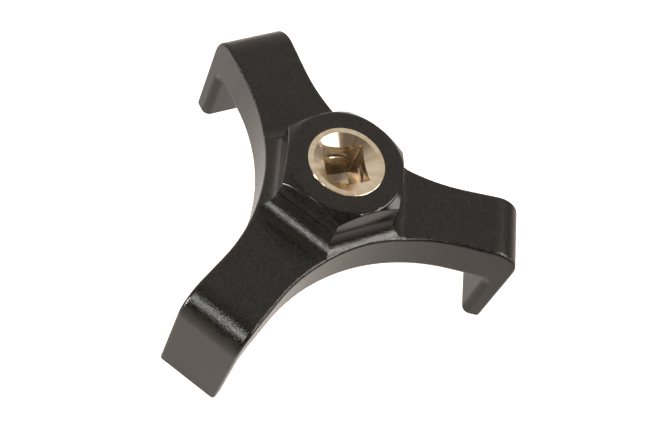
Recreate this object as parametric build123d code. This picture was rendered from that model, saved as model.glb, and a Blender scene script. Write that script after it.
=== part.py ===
"""Three-legged oil filter wrench: a moulded nylon spider and a pressed-in metal square-drive insert.

The wrench drops over an oil filter cap. Its three legs take the cap between them, and a ratchet in
the square socket, or a spanner on the hexagon, turns it. The origin is on the drive axis, in the
plane of the three feet, with +Z up and one arm pointing along -Y. Lengths are in millimetres.
"""

from build123d import *
from math import cos, degrees, pi, radians, sin, sqrt, tan
import os

# ---- driving dimensions of the spider ----
arm_azimuths = (-90, 30, 150)      # degrees from +X
arm_top = 29.3                     # height of the arms' top face above the feet
arm_thickness = 12.4               # from the arms' top face to their underside
leg_outer_radius = 46.7            # outer face of a leg, at the height of the arms' top
leg_outer_draft = 1.1              # degrees that the outer face leans in towards the foot
side_draft = 0.8                   # degrees that the arms' sides and the gaps' walls lean in
leg_inner_radius = 41.6            # inner, gripping face of a leg
arm_end_half_width = 8.2           # half the width of an arm's top at its outer end
arm_side_taper = 1.35              # degrees that each side of an arm opens out
gap_radius = 45.6                  # concave wall between two arms
hub_bore_radius = 35.0             # open space under the hub, before the legs begin

end_rounding = 6.9                 # where an arm's top turns down into its leg
fine_edge_rounding = 0.8           # along the top edges, down the legs' outer corners, round the feet
under_edge_rounding = 2.0          # along the undersides and down the legs' inner corners
boss_rim_rounding = 0.4            # where the hexagon's flats meet its trimmed top
inner_corner_rounding = 2.0        # between an arm's underside and its leg

# ---- driving dimensions of the hexagon boss ----
hex_across_flats = 27.0
boss_height = 10.9                 # above the arms' top face
boss_base_fillet = 4.6             # concave sweep from the flats to the arms
boss_corner_chamfer = 45.0         # degrees, the cone that trims the six top corners
boss_chamfer_inset = 0.25          # how far inside the flats the cone would meet the top face
boss_crown_rounding = 1.0          # between the cone and the top face

# ---- driving dimensions of the metal insert ----
square_drive = 9.6                 # across the flats of the 3/8 inch square socket
insert_diameter = 17.9
insert_length = 18.0
insert_proud = 0.3                 # rim above the boss
rim_rounding = 0.2                 # outer edge of the rim
rim_inner_radius = 7.65            # where the lead-in cone starts
cone_angle = 29.5                  # degrees below the horizontal, slope of the lead-in cone
socket_corner_rounding = 0.35      # up the square's four corners
socket_depth = 12.0                # from the boss top down to the floor, at the square's corners
drill_point_angle = 118.0          # degrees, of the drilled cone that the floor is
detent_depth = 4.8                 # from the boss top to the middle of the detent groove
detent_radius = 5.35               # how far the detent groove reaches from the axis
detent_half_height = 1.15
plain_collar = 3.5                 # smooth length under the rim, above the knurl
knurl_teeth = 24
knurl_depth = 0.5
retaining_groove_height = 2.0
retaining_groove_depth = 1.2
retaining_groove_level = 9.0       # from the boss top to the middle of the groove

# ---- sizes that follow ----
boss_top = arm_top + boss_height
arm_underside = arm_top - arm_thickness
hex_apothem = hex_across_flats / 2
cutter_reach = 80.0                # larger than the whole wrench
arm_count = len(arm_azimuths)
half_sector = pi / arm_count


def draft_step(height):
    """How far the drafted sides stand out at a height, compared with the arms' top."""
    return (height - arm_top) * tan(radians(side_draft))


def arm_half_width(radius, height):
    """Half the width of an arm at a distance from the axis and a height."""
    taper_step = (radius - leg_outer_radius) * tan(radians(arm_side_taper))
    return arm_end_half_width + taper_step + draft_step(height)


def polar(radius, azimuth):
    """The point at a radius and an azimuth in degrees."""
    return Vector(radius * cos(radians(azimuth)), radius * sin(radians(azimuth)))


def arm_plane(azimuth):
    """A plane that stands along an arm: its x is the distance from the axis, its y is the height."""
    along = polar(1, azimuth)
    return Plane(origin=(0, 0, 0), x_dir=(along.X, along.Y, 0), z_dir=(along.Y, -along.X, 0))


def spider_outline():
    """The plan view at the boss's top: three tapered arms, joined by arcs tangent to their sides."""
    taper = radians(arm_side_taper)
    wall_radius = gap_radius - draft_step(boss_top)
    end_radius = leg_outer_radius + draft_step(boss_top)
    rise = sin(half_sector) - cos(half_sector) * tan(taper)
    gap_centre = (wall_radius / cos(taper) + arm_half_width(0, boss_top)) / rise
    tangent_radius = gap_centre * cos(half_sector) + wall_radius * sin(taper)
    edges = []
    for azimuth in arm_azimuths:

        def corner(arm_azimuth, radius, side):
            across = side * arm_half_width(radius, boss_top)
            return (Rot(0, 0, arm_azimuth) * Pos(radius, across, 0)).position

        next_azimuth = azimuth + degrees(2 * half_sector)
        wall_middle = polar(gap_centre - wall_radius, azimuth + degrees(half_sector))
        wall_end = corner(next_azimuth, tangent_radius, -1)
        edges.append(Line(corner(azimuth, tangent_radius, -1), corner(azimuth, end_radius, -1)))
        edges.append(Line(corner(azimuth, end_radius, -1), corner(azimuth, end_radius, 1)))
        edges.append(Line(corner(azimuth, end_radius, 1), corner(azimuth, tangent_radius, 1)))
        edges.append(ThreePointArc(corner(azimuth, tangent_radius, 1), wall_middle, wall_end))
    return make_face(edges)


def end_cutter(azimuth):
    """What is outside an arm's end: its drafted outer face and the rounding above it."""
    foot_radius = leg_outer_radius - arm_top * tan(radians(leg_outer_draft))
    below = (foot_radius - tan(radians(leg_outer_draft)), -1)
    shape = Polyline(
        below,
        (leg_outer_radius, arm_top),
        (leg_outer_radius - 2 * end_rounding, arm_top),
        (leg_outer_radius - 2 * end_rounding, arm_top + 1),
        (cutter_reach, arm_top + 1),
        (cutter_reach, -1),
        close=True,
    )
    section = make_face(shape)
    shoulder = section.vertices().sort_by_distance((leg_outer_radius, arm_top, 0))[0]
    section = fillet(shoulder, end_rounding)
    return extrude(arm_plane(azimuth) * section, amount=cutter_reach / 2, both=True)


def under_cutter():
    """The open space under the hub and between the legs, where the filter cap goes."""
    space = Pos(0, 0, -1) * Cylinder(
        hub_bore_radius, arm_underside + 1, align=(Align.CENTER, Align.CENTER, Align.MIN)
    )
    for azimuth in arm_azimuths:
        section = make_face(
            Polyline(
                (0, -1),
                (leg_inner_radius, -1),
                (leg_inner_radius, arm_underside),
                (0, arm_underside),
                close=True,
            )
        )
        corner = section.vertices().sort_by_distance((leg_inner_radius, arm_underside, 0))[0]
        section = fillet(corner, inner_corner_rounding)
        space += extrude(arm_plane(azimuth) * section, amount=2 * arm_end_half_width, both=True)
    return space


def boss_cutter(azimuth):
    """What is outside one flat of the hexagon: above the arms, beyond the flat and its fillet."""
    arc_middle = (
        hex_apothem + boss_base_fillet * (1 - sqrt(0.5)),
        arm_top + boss_base_fillet * (1 - sqrt(0.5)),
    )
    edges = [
        Line((hex_apothem, boss_top + 1), (hex_apothem, arm_top + boss_base_fillet)),
        ThreePointArc(
            (hex_apothem, arm_top + boss_base_fillet),
            arc_middle,
            (hex_apothem + boss_base_fillet, arm_top),
        ),
        Line((hex_apothem + boss_base_fillet, arm_top), (cutter_reach, arm_top)),
        Line((cutter_reach, arm_top), (cutter_reach, boss_top + 1)),
        Line((cutter_reach, boss_top + 1), (hex_apothem, boss_top + 1)),
    ]
    return extrude(arm_plane(azimuth) * make_face(edges), amount=cutter_reach, both=True)


def corner_cutter():
    """What is outside the cone that trims the hexagon's top corners, and the rounding above it."""
    top_radius = hex_apothem - boss_chamfer_inset
    reach = hex_apothem / 2
    inner_radius = top_radius - 2 * boss_crown_rounding
    shape = Polyline(
        (inner_radius, boss_top),
        (top_radius, boss_top),
        (top_radius + reach, boss_top - reach * tan(radians(boss_corner_chamfer))),
        (top_radius + reach, boss_top + 1),
        (inner_radius, boss_top + 1),
        close=True,
    )
    section = make_face(shape)
    crown = section.vertices().sort_by_distance((top_radius, boss_top, 0))[0]
    section = fillet(crown, boss_crown_rounding)
    return Rot(0, 0, 30) * revolve(Plane.XZ * section, Axis.Z)


def insert_blank():
    """The insert's outside: a plain rim collar, a knurled barrel and a ring groove that holds it."""
    radius = insert_diameter / 2
    barrel_bottom = boss_top - insert_length
    collar_bottom = boss_top - plain_collar
    collar = Pos(0, 0, collar_bottom) * Cylinder(
        radius, plain_collar + insert_proud, align=(Align.CENTER, Align.CENTER, Align.MIN)
    )
    rim = collar.edges().filter_by(GeomType.CIRCLE).sort_by(Axis.Z)[-1]
    collar = fillet(rim, rim_rounding)
    step = 360 / knurl_teeth
    points = []
    for tooth in range(knurl_teeth):
        points.append(polar(radius - knurl_depth, tooth * step))
        points.append(polar(radius, (tooth + 0.5) * step))
    star = make_face(Polyline(*points, close=True))
    barrel = extrude(Pos(0, 0, barrel_bottom) * star, amount=collar_bottom - barrel_bottom)
    groove_level = boss_top - retaining_groove_level
    ring = Cylinder(radius + 1, retaining_groove_height) - Cylinder(
        radius - retaining_groove_depth, retaining_groove_height
    )
    return collar + (barrel - Pos(0, 0, groove_level) * ring)


def square_socket():
    """The blind square hole, its lead-in cone and the groove that a ratchet's ball clicks into."""
    rim_top = boss_top + insert_proud
    square = RectangleRounded(square_drive, square_drive, socket_corner_rounding)
    corner_radius = square_drive / sqrt(2)
    point_height = corner_radius / tan(radians(drill_point_angle / 2))
    point = boss_top - socket_depth - point_height
    column = extrude(Pos(0, 0, point) * Rot(0, 0, 45) * square, amount=boss_top + 2 - point)
    drilled = Pos(0, 0, point) * Cone(
        0, corner_radius, point_height, align=(Align.CENTER, Align.CENTER, Align.MIN)
    )
    drilled += Pos(0, 0, boss_top - socket_depth) * Cylinder(
        corner_radius, socket_depth + 2, align=(Align.CENTER, Align.CENTER, Align.MIN)
    )
    hole = column & drilled
    cone_depth = rim_inner_radius * tan(radians(cone_angle))
    mouth = Pos(0, 0, rim_top - cone_depth) * Cone(
        0, rim_inner_radius, cone_depth, align=(Align.CENTER, Align.CENTER, Align.MIN)
    )
    above = Pos(0, 0, rim_top) * Cylinder(
        rim_inner_radius, 2, align=(Align.CENTER, Align.CENTER, Align.MIN)
    )
    reach = detent_radius - square_drive / 2
    groove_section = Plane.XZ * Pos(square_drive / 2, boss_top - detent_depth) * Ellipse(
        reach, detent_half_height
    )
    inner_cut = Plane.XZ * Pos(square_drive / 4, boss_top - detent_depth) * Rectangle(
        square_drive / 2, 4 * detent_half_height
    )
    groove = revolve(groove_section - inner_cut, Axis.Z)
    return hole + mouth + above + groove


def place_on_arm(point):
    """A point's distance along the arm that it is nearest to, and across that arm's middle line."""
    turned = [(Rot(0, 0, -azimuth) * Pos(point.X, point.Y, 0)).position for azimuth in arm_azimuths]
    nearest = max(turned, key=lambda place: place.X)
    return nearest.X, nearest.Y


def outline_edges(body, upper):
    """The long edges of the arms' sides and of the gaps' walls, either the upper or the lower run."""
    chosen = []
    margin = 0.05
    for edge in body.edges():
        middle = edge @ 0.5
        along, across = place_on_arm(middle)
        upright = abs((edge % 0.5).Z) > 0.9
        on_side = abs(abs(across) - arm_half_width(along, middle.Z)) < margin
        on_side = on_side and not (upright and along < leg_inner_radius - margin)
        on_gap = edge.geom_type in (GeomType.CIRCLE, GeomType.BSPLINE) and along < hub_bore_radius
        on_gap = on_gap and middle.Z < arm_top + boss_base_fillet
        above = middle.Z > arm_top - arm_thickness / 2
        beyond = along > (leg_inner_radius + leg_outer_radius) / 2
        if (on_side or on_gap) and middle.Z > margin and (above or beyond) == upper:
            chosen.append(edge)
    return chosen


def boss_rim_edges(body):
    """The edges where the hexagon's flats meet its trimmed and rounded top."""
    corner_drop = hex_apothem / cos(radians(30)) - hex_apothem + boss_chamfer_inset
    lowest = boss_top - corner_drop * tan(radians(boss_corner_chamfer))
    high = [edge for edge in body.edges() if (edge @ 0.5).Z > lowest]
    return [edge for edge in high if edge.geom_type != GeomType.CIRCLE]


def spider_body():
    """The black moulded spider, with its hexagon boss and the seat for the insert."""
    body = extrude(Pos(0, 0, boss_top) * spider_outline(), amount=-boss_top, taper=side_draft)
    for azimuth in arm_azimuths:
        body -= boss_cutter(azimuth)
        body -= boss_cutter(azimuth + 180)
        body -= end_cutter(azimuth)
    body -= under_cutter()
    body -= corner_cutter()
    body = body.fillet(under_edge_rounding, outline_edges(body, upper=False))
    foot_edges = body.edges().filter_by_position(Axis.Z, -0.01, 0.01)
    body = body.fillet(fine_edge_rounding, outline_edges(body, upper=True) + foot_edges)
    body = body.fillet(boss_rim_rounding, boss_rim_edges(body))
    return body - insert_blank()


def drive_insert():
    """The metal insert: its knurled blank with the square socket cut into it."""
    return insert_blank() - square_socket()


parts = {
    "spider_body": spider_body(),
    "drive_insert": drive_insert(),
}

os.makedirs("parts", exist_ok=True)
for name, part in parts.items():
    export_step(part, f"parts/{name}.step")
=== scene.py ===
import math

import bpy
from mathutils import Matrix, Vector


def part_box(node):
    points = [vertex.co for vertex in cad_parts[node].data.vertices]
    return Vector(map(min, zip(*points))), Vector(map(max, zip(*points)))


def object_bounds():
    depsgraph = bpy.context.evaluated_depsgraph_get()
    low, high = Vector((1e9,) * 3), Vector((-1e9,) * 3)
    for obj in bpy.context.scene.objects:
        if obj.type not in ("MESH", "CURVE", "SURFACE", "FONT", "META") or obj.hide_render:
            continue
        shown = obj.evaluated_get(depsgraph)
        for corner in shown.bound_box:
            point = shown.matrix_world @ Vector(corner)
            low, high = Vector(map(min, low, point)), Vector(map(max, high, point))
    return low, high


# Looks for the three-legged oil filter wrench: the moulded plastic, the turned and plated metal,
# a white table, soft lights and the camera. Lengths are in metres, in the frame of the CAD model:
# the drive axis is Z, the feet are at z 0, and one arm points along -Y. Angles are in degrees.

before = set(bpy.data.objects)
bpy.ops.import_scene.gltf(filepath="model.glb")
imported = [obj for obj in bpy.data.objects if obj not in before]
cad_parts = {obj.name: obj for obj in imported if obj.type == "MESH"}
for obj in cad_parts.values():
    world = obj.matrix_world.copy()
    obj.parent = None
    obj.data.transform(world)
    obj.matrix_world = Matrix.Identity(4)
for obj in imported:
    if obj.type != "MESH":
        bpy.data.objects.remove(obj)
cad_low, cad_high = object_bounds()

# ---- the camera ----
camera_azimuth = 10.44             # round the drive axis, from -Y towards +X
camera_elevation = 55.10
camera_roll = 28.76                # turn of the camera about its own line of sight
camera_distance = 0.3857           # from the point that it looks at
camera_target = (0.00302, -0.00767, 0.0293)
camera_lens = 95.23                # millimetres
camera_sensor = 36                 # millimetres
camera_clip = (0.01, 20)           # nearest and farthest thing that it sees

# ---- the table and the lights ----
# Brightness is the radiance that a surface shows, where 1 is as bright as the white of the picture.
table_size = 6.0
table_paint = 0.38                 # share of the light that the table top returns
table_roughness = 0.9
table_glow = (0.82, 0.42)          # light that the table gives off by itself, on its left and right
table_glow_reach = 0.06            # distance from the axis to either of those places
table_seen_glow = 0.80             # added where the camera sees the table, which keeps it white
table_far = 0.46                   # share of the paint and the glow that is left far from the axis
table_lit_patch = (0.040, 0.20)    # radius where the table starts to fade, and where it has faded
table_tint = (1.0, 0.92, 0.86)     # warm white
room_dark = (0.15, 0.125, 0.105)   # the front right of the room
room_bright = (0.66, 0.62, 0.57)   # the pale wall on the left
room_bright_azimuth = 140          # of the wall's middle, from +X
room_bright_elevation = 15
room_bright_edge = (-0.05, 0.80)   # cosine of the angle from the wall's middle, where it fades in
light_distance = 1.0               # from the middle of the object
warm = (1.0, 0.95, 0.88)           # tint of the lights on the right
cool = (1.0, 1.0, 0.97)            # tint of the lights in front and on the left
lights = {
    # name: (azimuth from +X, elevation, width, height, brightness, tint)
    "front_softbox": (261, 41, 0.30, 0.28, 13.0, cool),
    "low_left_lamp": (231, 6, 0.22, 0.30, 58.0, cool),
    "right_softbox": (26, 46, 0.84, 0.34, 7.0, warm),
    "right_lower_card": (3, 34, 0.32, 0.24, 13.0, warm),
    "low_right_card": (34, 7, 0.30, 0.18, 4.5, warm),
}

# ---- the plastic's surface ----
plastic_dark = (0.0014, 0.0012, 0.0009)
plastic_light = (0.0112, 0.0092, 0.0073)
plastic_grain_size = 0.00036       # one bump of the moulded texture
plastic_grain_height = 0.000080    # how far it stands out
plastic_grain_band = (0.36, 0.64)  # values of the noise that the speckle stretches between
plastic_speckle = (0.0, 2.4)       # brightness of the skin between the specks and on them
plastic_roughness = (0.10, 0.19)   # roughness in the same two places
plastic_boss_grain = 0.15          # share of the bumps that is left on the smoother boss
plastic_boss_levels = (0.0325, 0.0350)  # heights between which it gets smoother
plastic_flow_size = 0.0035         # the faint swirls left by the melt
plastic_flow_height = 0.00003
plastic_flow_strength = 0.25       # share of those swirls' bumps that shows
plastic_ior = 1.5

# ---- the metal's surface ----
plating_dark = (0.74, 0.60, 0.42)
plating_light = (0.94, 0.82, 0.64)
plated_roughness = (0.10, 0.17)    # where the plating is dark, and where it is light
polish_streak = 0.24               # width of a polishing streak up the cone, in radians
polish_streak_band = (0.32, 0.68)  # values of the noise that the streaks stretch between
broached_depth = 0.0016            # below the rim, where the square hole and its darker colour begin
broached_fade = 0.0004             # height over which the plating's colour changes to the hole's
# the walls of the square hole: darker than the plating
square_hole_colour = (0.58, 0.51, 0.42)
broached_roughness = 0.27
upward_painted_light_colour = (0.82, 0.71, 0.57)  # painted light from above: the lighter colour of the faces in the hole that look up, such as its floor
upward_painted_light_facing = (0.3, 0.5)        # how far a face looks up, where the walls' colour ends and the painted light begins
turning_pitch = 0.00022            # from one turned groove to the next
turning_height = 0.0000015         # depth of a groove
turning_waver = 0.6                # how uneven the grooves are

# ---- facts about Blender's nodes ----
ring_pitch = 0.314                 # from one ring to the next in a wave texture with a scale of 1
mix_first, mix_second, mix_result = 6, 7, 2  # places of the colour sockets on a Mix node


# ---- material helpers ----
def new_material(name):
    """An empty node material: its node tree, and its shader already joined to the output."""
    material = bpy.data.materials.new(name)
    material.use_nodes = True
    tree = material.node_tree
    tree.nodes.clear()
    output = tree.nodes.new("ShaderNodeOutputMaterial")
    shader = tree.nodes.new("ShaderNodeBsdfPrincipled")
    tree.links.new(shader.outputs["BSDF"], output.inputs["Surface"])
    return material, tree, shader


def node(tree, kind, **settings):
    """A new node, with its properties and its inputs' values set by name."""
    made = tree.nodes.new(kind)
    for name, value in settings.items():
        if hasattr(made, name):
            setattr(made, name, value)
        else:
            made.inputs[name.replace("_", " ")].default_value = value
    return made


def noise(tree, place, size, detail=2.0, roughness=0.5):
    """Noise whose features are about this size across, as a factor from 0 to 1."""
    made = node(tree, "ShaderNodeTexNoise", Scale=1 / size, Detail=detail, Roughness=roughness)
    tree.links.new(place, made.inputs["Vector"])
    return made.outputs["Fac"]


def blend_colours(tree, factor, first, second):
    """A colour between two others, each of which is a value or another node's output."""
    made = node(tree, "ShaderNodeMix", data_type="RGBA")
    tree.links.new(factor, made.inputs["Factor"])
    for place, colour in ((mix_first, first), (mix_second, second)):
        if isinstance(colour, tuple):
            made.inputs[place].default_value = (*colour, 1)
        else:
            tree.links.new(colour, made.inputs[place])
    return made.outputs[mix_result]


def multiply_colours(tree, first, second):
    """The product of two nodes' outputs, as a colour."""
    made = node(tree, "ShaderNodeMix", data_type="RGBA", blend_type="MULTIPLY", Factor=1.0)
    tree.links.new(first, made.inputs[mix_first])
    tree.links.new(second, made.inputs[mix_second])
    return made.outputs[mix_result]


def spread(tree, factor, low, high, from_low=0.0, from_high=1.0):
    """A factor stretched to run from low to high."""
    made = node(tree, "ShaderNodeMapRange")
    tree.links.new(factor, made.inputs["Value"])
    made.inputs["From Min"].default_value = from_low
    made.inputs["From Max"].default_value = from_high
    made.inputs["To Min"].default_value = low
    made.inputs["To Max"].default_value = high
    return made.outputs["Result"]


def bump(tree, height, distance, strength=1.0, below=None):
    """A bump of that real height, laid over another one if there is one."""
    made = node(tree, "ShaderNodeBump", Strength=strength, Distance=distance)
    tree.links.new(height, made.inputs["Height"])
    if below is not None:
        tree.links.new(below, made.inputs["Normal"])
    return made.outputs["Normal"]


def object_place(tree):
    """Where a point is on the object, in metres."""
    return tree.nodes.new("ShaderNodeTexCoord").outputs["Object"]


def separate_axes(tree, vector):
    """A vector's X, Y and Z as three outputs, by name."""
    made = tree.nodes.new("ShaderNodeSeparateXYZ")
    tree.links.new(vector, made.inputs["Vector"])
    return made.outputs


# ---- the finishes ----
def black_plastic():
    """Glass-filled black nylon: a satin moulded skin with a fine grain and faint flow marks."""
    material, tree, shader = new_material("moulded_nylon")
    place = object_place(tree)
    flow = noise(tree, place, plastic_flow_size, detail=5, roughness=0.7)
    grain = noise(tree, place, plastic_grain_size, detail=2.0, roughness=0.6)
    flow_colour = blend_colours(tree, flow, plastic_dark, plastic_light)
    speckle = spread(tree, grain, *plastic_speckle, *plastic_grain_band)
    colour = multiply_colours(tree, flow_colour, speckle)
    tree.links.new(colour, shader.inputs["Base Color"])
    roughness = spread(tree, grain, *plastic_roughness, *plastic_grain_band)
    tree.links.new(roughness, shader.inputs["Roughness"])
    flow_bump = bump(tree, flow, plastic_flow_height, plastic_flow_strength)
    grain_bump = bump(tree, grain, plastic_grain_height, below=flow_bump)
    height = separate_axes(tree, place)["Z"]
    smoother = spread(tree, height, 1.0, plastic_boss_grain, *plastic_boss_levels)
    tree.links.new(smoother, grain_bump.node.inputs["Strength"])
    tree.links.new(grain_bump, shader.inputs["Normal"])
    shader.inputs["IOR"].default_value = plastic_ior
    return material


def from_axis(tree, axes):
    """The vector from the drive axis straight out to a point."""
    made = tree.nodes.new("ShaderNodeCombineXYZ")
    tree.links.new(axes["X"], made.inputs["X"])
    tree.links.new(axes["Y"], made.inputs["Y"])
    return made.outputs["Vector"]


def turned_rings(tree, outward):
    """Fine grooves round the drive axis, as a factor from 0 to 1."""
    rings = node(
        tree,
        "ShaderNodeTexWave",
        wave_type="RINGS",
        rings_direction="SPHERICAL",
        Scale=ring_pitch / turning_pitch,
        Distortion=turning_waver,
        Detail=2.0,
    )
    tree.links.new(outward, rings.inputs["Vector"])
    return rings.outputs["Fac"]


def polishing_streaks(tree, outward):
    """Streaks that run up the cone and out over the rim, as a factor from 0 to 1."""
    around = node(tree, "ShaderNodeVectorMath", operation="NORMALIZE")
    tree.links.new(outward, around.inputs[0])
    streak = noise(tree, around.outputs["Vector"], polish_streak, detail=3)
    return spread(tree, streak, 0.0, 1.0, *polish_streak_band)


def inside_square(tree, height):
    """A factor that is 1 in the broached square hole and 0 on the plated rim and cone above it."""
    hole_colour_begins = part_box("drive_insert")[1].z - broached_depth
    return spread(tree, height, 1.0, 0.0, hole_colour_begins - broached_fade, hole_colour_begins)


def painted_light_on_upward_faces(tree):
    """Painted light from above: a factor that is 1 on faces that look up, such as the hole's floor, and
    0 on its walls.
    """
    geometry = tree.nodes.new("ShaderNodeNewGeometry")
    facing_up = separate_axes(tree, geometry.outputs["Normal"])["Z"]
    return spread(tree, facing_up, 0.0, 1.0, *upward_painted_light_facing)


def turned_metal():
    """Pale gold plating over turned metal, darker and duller in the square hole, with painted light on
    the faces there that look up.
    """
    material, tree, shader = new_material("turned_plated_metal")
    axes = separate_axes(tree, object_place(tree))
    outward = from_axis(tree, axes)
    streak = polishing_streaks(tree, outward)
    inside = inside_square(tree, axes["Z"])
    plated = blend_colours(tree, streak, plating_dark, plating_light)
    # in the hole: the walls' darker colour, with painted light on the faces that look up
    hole_walls_and_floor = blend_colours(tree, painted_light_on_upward_faces(tree), square_hole_colour, upward_painted_light_colour)
    tree.links.new(blend_colours(tree, inside, plated, hole_walls_and_floor), shader.inputs["Base Color"])
    roughness = node(tree, "ShaderNodeMath", operation="MAXIMUM")
    tree.links.new(spread(tree, streak, *plated_roughness), roughness.inputs[0])
    tree.links.new(spread(tree, inside, 0.0, broached_roughness), roughness.inputs[1])
    tree.links.new(roughness.outputs["Value"], shader.inputs["Roughness"])
    grooves = bump(tree, turned_rings(tree, outward), turning_height)
    tree.links.new(grooves, shader.inputs["Normal"])
    shader.inputs["Metallic"].default_value = 1.0
    return material


def table_white():
    """A white table top that glows a little, most of all in the lit patch round the object."""
    material, tree, shader = new_material("table_white")
    place = object_place(tree)
    radius = node(tree, "ShaderNodeVectorMath", operation="LENGTH")
    tree.links.new(place, radius.inputs[0])
    far = spread(tree, radius.outputs["Value"], 0.0, 1.0, *table_lit_patch)
    near_paint = tuple(table_paint * part for part in table_tint)
    far_paint = tuple(table_far * part for part in near_paint)
    tree.links.new(blend_colours(tree, far, near_paint, far_paint), shader.inputs["Base Color"])
    across = separate_axes(tree, place)["X"]
    glow = spread(tree, across, *table_glow, -table_glow_reach, table_glow_reach)
    faded = spread(tree, far, 1.0, table_far)
    camera_ray = tree.nodes.new("ShaderNodeLightPath").outputs["Is Camera Ray"]
    seen = spread(tree, camera_ray, 0.0, table_seen_glow)
    total = node(tree, "ShaderNodeMath", operation="MULTIPLY_ADD")
    for number, part in enumerate((glow, faded, seen)):
        tree.links.new(part, total.inputs[number])
    tree.links.new(total.outputs["Value"], shader.inputs["Emission Strength"])
    shader.inputs["Roughness"].default_value = table_roughness
    shader.inputs["Specular IOR Level"].default_value = 0.0
    shader.inputs["Emission Color"].default_value = (*table_tint, 1)
    return material


def finish_node(name, material):
    """A CAD node keeps its mesh and gets a finish."""
    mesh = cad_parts[name].data
    mesh.materials.clear()
    mesh.materials.append(material)


# ---- the stage ----
def direction(azimuth, elevation):
    """The unit vector at an azimuth from +X and an elevation, both in degrees."""
    around = math.radians(azimuth)
    above = math.radians(elevation)
    level = math.cos(above)
    return Vector((level * math.cos(around), level * math.sin(around), math.sin(above)))


def make_table():
    """A flat white plane that the feet stand on."""
    half = table_size / 2
    corners = [(-half, -half, 0), (half, -half, 0), (half, half, 0), (-half, half, 0)]
    mesh = bpy.data.meshes.new("table")
    mesh.from_pydata(corners, [], [(0, 1, 2, 3)])
    table = bpy.data.objects.new("table", mesh)
    table.location.z = cad_low.z
    mesh.materials.append(table_white())
    bpy.context.scene.collection.objects.link(table)


def make_light(name, azimuth, elevation, width, height, brightness, tint):
    """A rectangular softbox that faces the middle of the object."""
    middle = (cad_low + cad_high) / 2
    lamp = bpy.data.lights.new(name, "AREA")
    lamp.shape = "RECTANGLE"
    lamp.size = width
    lamp.size_y = height
    lamp.energy = brightness * math.pi * width * height
    lamp.color = tint
    made = bpy.data.objects.new(name, lamp)
    outward = direction(azimuth, elevation)
    made.location = middle + outward * light_distance
    made.rotation_mode = "QUATERNION"
    made.rotation_quaternion = outward.to_track_quat("Z", "Y")
    bpy.context.scene.collection.objects.link(made)


def make_world():
    """A dim room with one pale wall, which fades in with the angle from its middle."""
    world = bpy.data.worlds.new("studio")
    world.use_nodes = True
    tree = world.node_tree
    background = tree.nodes["Background"]
    place = tree.nodes.new("ShaderNodeTexCoord").outputs["Generated"]
    towards = node(tree, "ShaderNodeVectorMath", operation="DOT_PRODUCT")
    tree.links.new(place, towards.inputs[0])
    towards.inputs[1].default_value = direction(room_bright_azimuth, room_bright_elevation)
    fade = node(tree, "ShaderNodeMapRange", interpolation_type="SMOOTHSTEP")
    tree.links.new(towards.outputs["Value"], fade.inputs["Value"])
    fade.inputs["From Min"].default_value = room_bright_edge[0]
    fade.inputs["From Max"].default_value = room_bright_edge[1]
    colour = blend_colours(tree, fade.outputs["Result"], room_dark, room_bright)
    tree.links.new(colour, background.inputs["Color"])
    bpy.context.scene.world = world


def make_camera():
    """The camera looks at its target from its azimuth and elevation, turned about its line of sight."""
    outward = direction(camera_azimuth - 90, camera_elevation)
    right = Vector((0, 0, 1)).cross(outward).normalized()
    up = outward.cross(right)
    upright = Matrix((right, up, outward)).transposed()
    turned = upright @ Matrix.Rotation(math.radians(camera_roll), 3, "Z")
    camera = bpy.data.cameras.new("camera")
    camera.lens = camera_lens
    camera.sensor_width = camera_sensor
    camera.clip_start, camera.clip_end = camera_clip
    made = bpy.data.objects.new("camera", camera)
    stand = Vector(camera_target) + outward * camera_distance
    made.matrix_world = Matrix.Translation(stand) @ turned.to_4x4()
    bpy.context.scene.collection.objects.link(made)
    bpy.context.scene.camera = made


finish_node("spider_body", black_plastic())
finish_node("drive_insert", turned_metal())
make_table()
for light_name, light_settings in lights.items():
    make_light(light_name, *light_settings)
make_world()
make_camera()
bpy.context.scene.view_settings.view_transform = "Standard"
